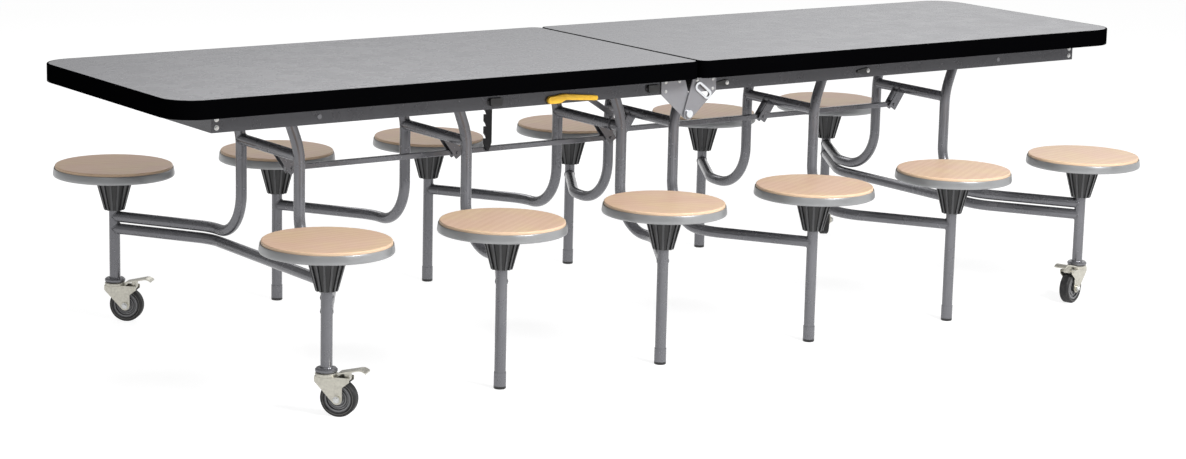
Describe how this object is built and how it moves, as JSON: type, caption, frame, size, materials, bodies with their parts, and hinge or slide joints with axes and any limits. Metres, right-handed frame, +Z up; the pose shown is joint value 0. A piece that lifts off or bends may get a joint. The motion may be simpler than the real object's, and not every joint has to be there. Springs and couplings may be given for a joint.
{
  "type": "table with attached swivel seats",
  "caption": "Long mobile folding table on casters, with round swivel stools on leg frames that fold up with the top.",
  "frame": {"origin": "on the floor under the centre of the tabletop", "axes": "+X along the table to the right, +Y to the back row of seats, +Z up"},
  "size_m": [3.05, 1.438, 0.74],
  "materials": {
    "laminate": "satin laminate over a wood core",
    "edge_moulding": "gloss",
    "frame_enamel": "semi-gloss",
    "black_enamel": "satin",
    "black_moulding": "matte",
    "seat_plywood": "clear satin lacquer",
    "seat_pan": "satin",
    "grip_yellow": "semi-gloss",
    "zinc_plate": "zinc plated",
    "caster_tyre": "matte",
    "pedal_black": "matte"
  },
  "bodies": {
    "leg_frame_1": {"leg_frame_1": "frame_enamel", "frame_1_hubs_and_caps": "black_moulding"},
    "top_left": {"table_board_left": "laminate", "table_edge_left": "edge_moulding", "underframe_left": "frame_enamel", "hinge_plates_left": "frame_enamel"},
    "top_right": {"table_board_right": "laminate", "table_edge_right": "edge_moulding", "underframe_right": "frame_enamel", "hinge_plates_right": "frame_enamel"},
    "leg_frame_2": {"leg_frame_2": "frame_enamel", "frame_2_hubs_and_caps": "black_moulding"},
    "leg_frame_3": {"leg_frame_3": "frame_enamel", "frame_3_hubs_and_caps": "black_moulding"},
    "leg_frame_4": {"leg_frame_4": "frame_enamel", "frame_4_hubs_and_caps": "black_moulding"},
    "leg_frame_5": {"leg_frame_5": "frame_enamel", "frame_5_hubs_and_caps": "black_moulding"},
    "leg_frame_6": {"leg_frame_6": "frame_enamel", "frame_6_hubs_and_caps": "black_moulding"},
    "link_bar_left": {"link_bar_left": "frame_enamel"},
    "link_bar_right": {"link_bar_right": "frame_enamel"},
    "safety_stay": {"safety_stay": "black_enamel"},
    "release_lever": {"release_lever": "grip_yellow"},
    "seat_front_1": {"seat_board_front_1": "seat_plywood", "seat_pan_front_1": "seat_pan"},
    "seat_back_1": {"seat_board_back_1": "seat_plywood", "seat_pan_back_1": "seat_pan"},
    "seat_front_2": {"seat_board_front_2": "seat_plywood", "seat_pan_front_2": "seat_pan"},
    "seat_back_2": {"seat_board_back_2": "seat_plywood", "seat_pan_back_2": "seat_pan"},
    "seat_front_3": {"seat_board_front_3": "seat_plywood", "seat_pan_front_3": "seat_pan"},
    "seat_back_3": {"seat_board_back_3": "seat_plywood", "seat_pan_back_3": "seat_pan"},
    "seat_front_4": {"seat_board_front_4": "seat_plywood", "seat_pan_front_4": "seat_pan"},
    "seat_back_4": {"seat_board_back_4": "seat_plywood", "seat_pan_back_4": "seat_pan"},
    "seat_front_5": {"seat_board_front_5": "seat_plywood", "seat_pan_front_5": "seat_pan"},
    "seat_back_5": {"seat_board_back_5": "seat_plywood", "seat_pan_back_5": "seat_pan"},
    "seat_front_6": {"seat_board_front_6": "seat_plywood", "seat_pan_front_6": "seat_pan"},
    "seat_back_6": {"seat_board_back_6": "seat_plywood", "seat_pan_back_6": "seat_pan"},
    "caster_front_left": {"caster_fork_front_left": "zinc_plate"},
    "wheel_front_left": {"caster_wheel_front_left": "caster_tyre"},
    "pedal_front_left": {"brake_pedal_front_left": "pedal_black"},
    "caster_back_left": {"caster_fork_back_left": "zinc_plate"},
    "wheel_back_left": {"caster_wheel_back_left": "caster_tyre"},
    "pedal_back_left": {"brake_pedal_back_left": "pedal_black"},
    "caster_front_right": {"caster_fork_front_right": "zinc_plate"},
    "wheel_front_right": {"caster_wheel_front_right": "caster_tyre"},
    "pedal_front_right": {"brake_pedal_front_right": "pedal_black"},
    "caster_back_right": {"caster_fork_back_right": "zinc_plate"},
    "wheel_back_right": {"caster_wheel_back_right": "caster_tyre"},
    "pedal_back_right": {"brake_pedal_back_right": "pedal_black"}
  },
  "joints": [
    {"name": "fold", "type": "hinge", "parent": "leg_frame_1", "child": "top_left", "pos_m": [-1.108, 0, 0.668], "axis": [0, -1, 0], "range_deg": [0, 88]},
    {"name": "centre_hinge", "type": "hinge", "parent": "top_left", "child": "top_right", "pos_m": [0, 0, 0.595], "axis": [0, 1, 0], "range_deg": [0, 176]},
    {"name": "frame_2_pivot", "type": "hinge", "parent": "top_left", "child": "leg_frame_2", "pos_m": [-0.618, 0, 0.668], "axis": [0, 1, 0], "range_deg": [0, 88]},
    {"name": "frame_3_pivot", "type": "hinge", "parent": "top_left", "child": "leg_frame_3", "pos_m": [-0.128, 0, 0.668], "axis": [0, 1, 0], "range_deg": [0, 88]},
    {"name": "frame_4_pivot", "type": "hinge", "parent": "top_right", "child": "leg_frame_4", "pos_m": [0.128, 0, 0.668], "axis": [0, -1, 0], "range_deg": [0, 88]},
    {"name": "frame_5_pivot", "type": "hinge", "parent": "top_right", "child": "leg_frame_5", "pos_m": [0.618, 0, 0.668], "axis": [0, -1, 0], "range_deg": [0, 88]},
    {"name": "frame_6_pivot", "type": "hinge", "parent": "top_right", "child": "leg_frame_6", "pos_m": [1.108, 0, 0.668], "axis": [0, -1, 0], "range_deg": [0, 88]},
    {"name": "link_left_pivot", "type": "hinge", "parent": "leg_frame_1", "child": "link_bar_left", "pos_m": [-1.035, -0.046, 0.494], "axis": [0, -1, 0], "range_deg": [0, 88]},
    {"name": "link_right_pivot", "type": "hinge", "parent": "leg_frame_6", "child": "link_bar_right", "pos_m": [1.035, 0.046, 0.494], "axis": [0, 1, 0], "range_deg": [0, 88]},
    {"name": "safety_stay_pivot", "type": "hinge", "parent": "top_left", "child": "safety_stay", "pos_m": [-0.452, -0.0565, 0.672], "axis": [0, 1, 0], "range_deg": [0, 72.7]},
    {"name": "release_lever_pivot", "type": "hinge", "parent": "top_left", "child": "release_lever", "pos_m": [-0.3, -0.32, 0.658], "axis": [0, -1, 0], "range_deg": [0, 15], "stiffness_Nm_per_rad": 2, "springref_deg": -22.92},
    {"name": "seat_front_1_swivel", "type": "hinge", "parent": "leg_frame_1", "child": "seat_front_1", "pos_m": [-1.225, -0.56, 0.388], "axis": [0, 0, 1], "continuous": true},
    {"name": "seat_back_1_swivel", "type": "hinge", "parent": "leg_frame_1", "child": "seat_back_1", "pos_m": [-1.225, 0.56, 0.388], "axis": [0, 0, 1], "continuous": true},
    {"name": "seat_front_2_swivel", "type": "hinge", "parent": "leg_frame_2", "child": "seat_front_2", "pos_m": [-0.735, -0.56, 0.388], "axis": [0, 0, 1], "continuous": true},
    {"name": "seat_back_2_swivel", "type": "hinge", "parent": "leg_frame_2", "child": "seat_back_2", "pos_m": [-0.735, 0.56, 0.388], "axis": [0, 0, 1], "continuous": true},
    {"name": "seat_front_3_swivel", "type": "hinge", "parent": "leg_frame_3", "child": "seat_front_3", "pos_m": [-0.245, -0.56, 0.388], "axis": [0, 0, 1], "continuous": true},
    {"name": "seat_back_3_swivel", "type": "hinge", "parent": "leg_frame_3", "child": "seat_back_3", "pos_m": [-0.245, 0.56, 0.388], "axis": [0, 0, 1], "continuous": true},
    {"name": "seat_front_4_swivel", "type": "hinge", "parent": "leg_frame_4", "child": "seat_front_4", "pos_m": [0.245, -0.56, 0.388], "axis": [0, 0, 1], "continuous": true},
    {"name": "seat_back_4_swivel", "type": "hinge", "parent": "leg_frame_4", "child": "seat_back_4", "pos_m": [0.245, 0.56, 0.388], "axis": [0, 0, 1], "continuous": true},
    {"name": "seat_front_5_swivel", "type": "hinge", "parent": "leg_frame_5", "child": "seat_front_5", "pos_m": [0.735, -0.56, 0.388], "axis": [0, 0, 1], "continuous": true},
    {"name": "seat_back_5_swivel", "type": "hinge", "parent": "leg_frame_5", "child": "seat_back_5", "pos_m": [0.735, 0.56, 0.388], "axis": [0, 0, 1], "continuous": true},
    {"name": "seat_front_6_swivel", "type": "hinge", "parent": "leg_frame_6", "child": "seat_front_6", "pos_m": [1.225, -0.56, 0.388], "axis": [0, 0, 1], "continuous": true},
    {"name": "seat_back_6_swivel", "type": "hinge", "parent": "leg_frame_6", "child": "seat_back_6", "pos_m": [1.225, 0.56, 0.388], "axis": [0, 0, 1], "continuous": true},
    {"name": "caster_front_left_swivel", "type": "hinge", "parent": "leg_frame_1", "child": "caster_front_left", "pos_m": [-1.225, -0.56, 0.104], "axis": [0, 0, 1], "continuous": true},
    {"name": "wheel_front_left_roll", "type": "hinge", "parent": "caster_front_left", "child": "wheel_front_left", "pos_m": [-1.20401, -0.58415, 0.0445], "axis": [0.7547, 0.6561, 0], "continuous": true},
    {"name": "pedal_front_left_press", "type": "hinge", "parent": "caster_front_left", "child": "pedal_front_left", "pos_m": [-1.18957, -0.60075, 0.093], "axis": [0.7547, 0.6561, 0], "range_deg": [0, 12]},
    {"name": "caster_back_left_swivel", "type": "hinge", "parent": "leg_frame_1", "child": "caster_back_left", "pos_m": [-1.225, 0.56, 0.104], "axis": [0, 0, 1], "continuous": true},
    {"name": "wheel_back_left_roll", "type": "hinge", "parent": "caster_back_left", "child": "wheel_back_left", "pos_m": [-1.2016, 0.53818, 0.0445], "axis": [0.682, 0.7314, 0], "continuous": true},
    {"name": "pedal_back_left_press", "type": "hinge", "parent": "caster_back_left", "child": "pedal_back_left", "pos_m": [-1.18551, 0.52317, 0.093], "axis": [0.682, 0.7314, 0], "range_deg": [0, 12]},
    {"name": "caster_front_right_swivel", "type": "hinge", "parent": "leg_frame_6", "child": "caster_front_right", "pos_m": [1.225, -0.56, 0.104], "axis": [0, 0, 1], "continuous": true},
    {"name": "wheel_front_right_roll", "type": "hinge", "parent": "caster_front_right", "child": "wheel_front_right", "pos_m": [1.19457, -0.56989, 0.0445], "axis": [0.309, -0.9511, 0], "continuous": true},
    {"name": "pedal_front_right_press", "type": "hinge", "parent": "caster_front_right", "child": "pedal_front_right", "pos_m": [1.17364, -0.57669, 0.093], "axis": [0.309, -0.9511, 0], "range_deg": [0, 12]},
    {"name": "caster_back_right_swivel", "type": "hinge", "parent": "leg_frame_6", "child": "caster_back_right", "pos_m": [1.225, 0.56, 0.104], "axis": [0, 0, 1], "continuous": true},
    {"name": "wheel_back_right_roll", "type": "hinge", "parent": "caster_back_right", "child": "wheel_back_right", "pos_m": [1.20665, 0.53379, 0.0445], "axis": [0.8192, -0.5736, 0], "continuous": true},
    {"name": "pedal_back_right_press", "type": "hinge", "parent": "caster_back_right", "child": "pedal_back_right", "pos_m": [1.19403, 0.51577, 0.093], "axis": [0.8192, -0.5736, 0], "range_deg": [0, 12]}
  ],
  "couplings": [
    {"joint": "centre_hinge", "follows": "fold", "ratio": 2},
    {"joint": "frame_2_pivot", "follows": "fold", "ratio": 1},
    {"joint": "frame_3_pivot", "follows": "fold", "ratio": 1},
    {"joint": "frame_4_pivot", "follows": "fold", "ratio": 1},
    {"joint": "frame_5_pivot", "follows": "fold", "ratio": 1},
    {"joint": "frame_6_pivot", "follows": "fold", "ratio": 1},
    {"joint": "link_left_pivot", "follows": "fold", "ratio": 1},
    {"joint": "link_right_pivot", "follows": "fold", "ratio": 1},
    {"joint": "safety_stay_pivot", "follows": "fold", "ratio": 0.82}
  ]
}
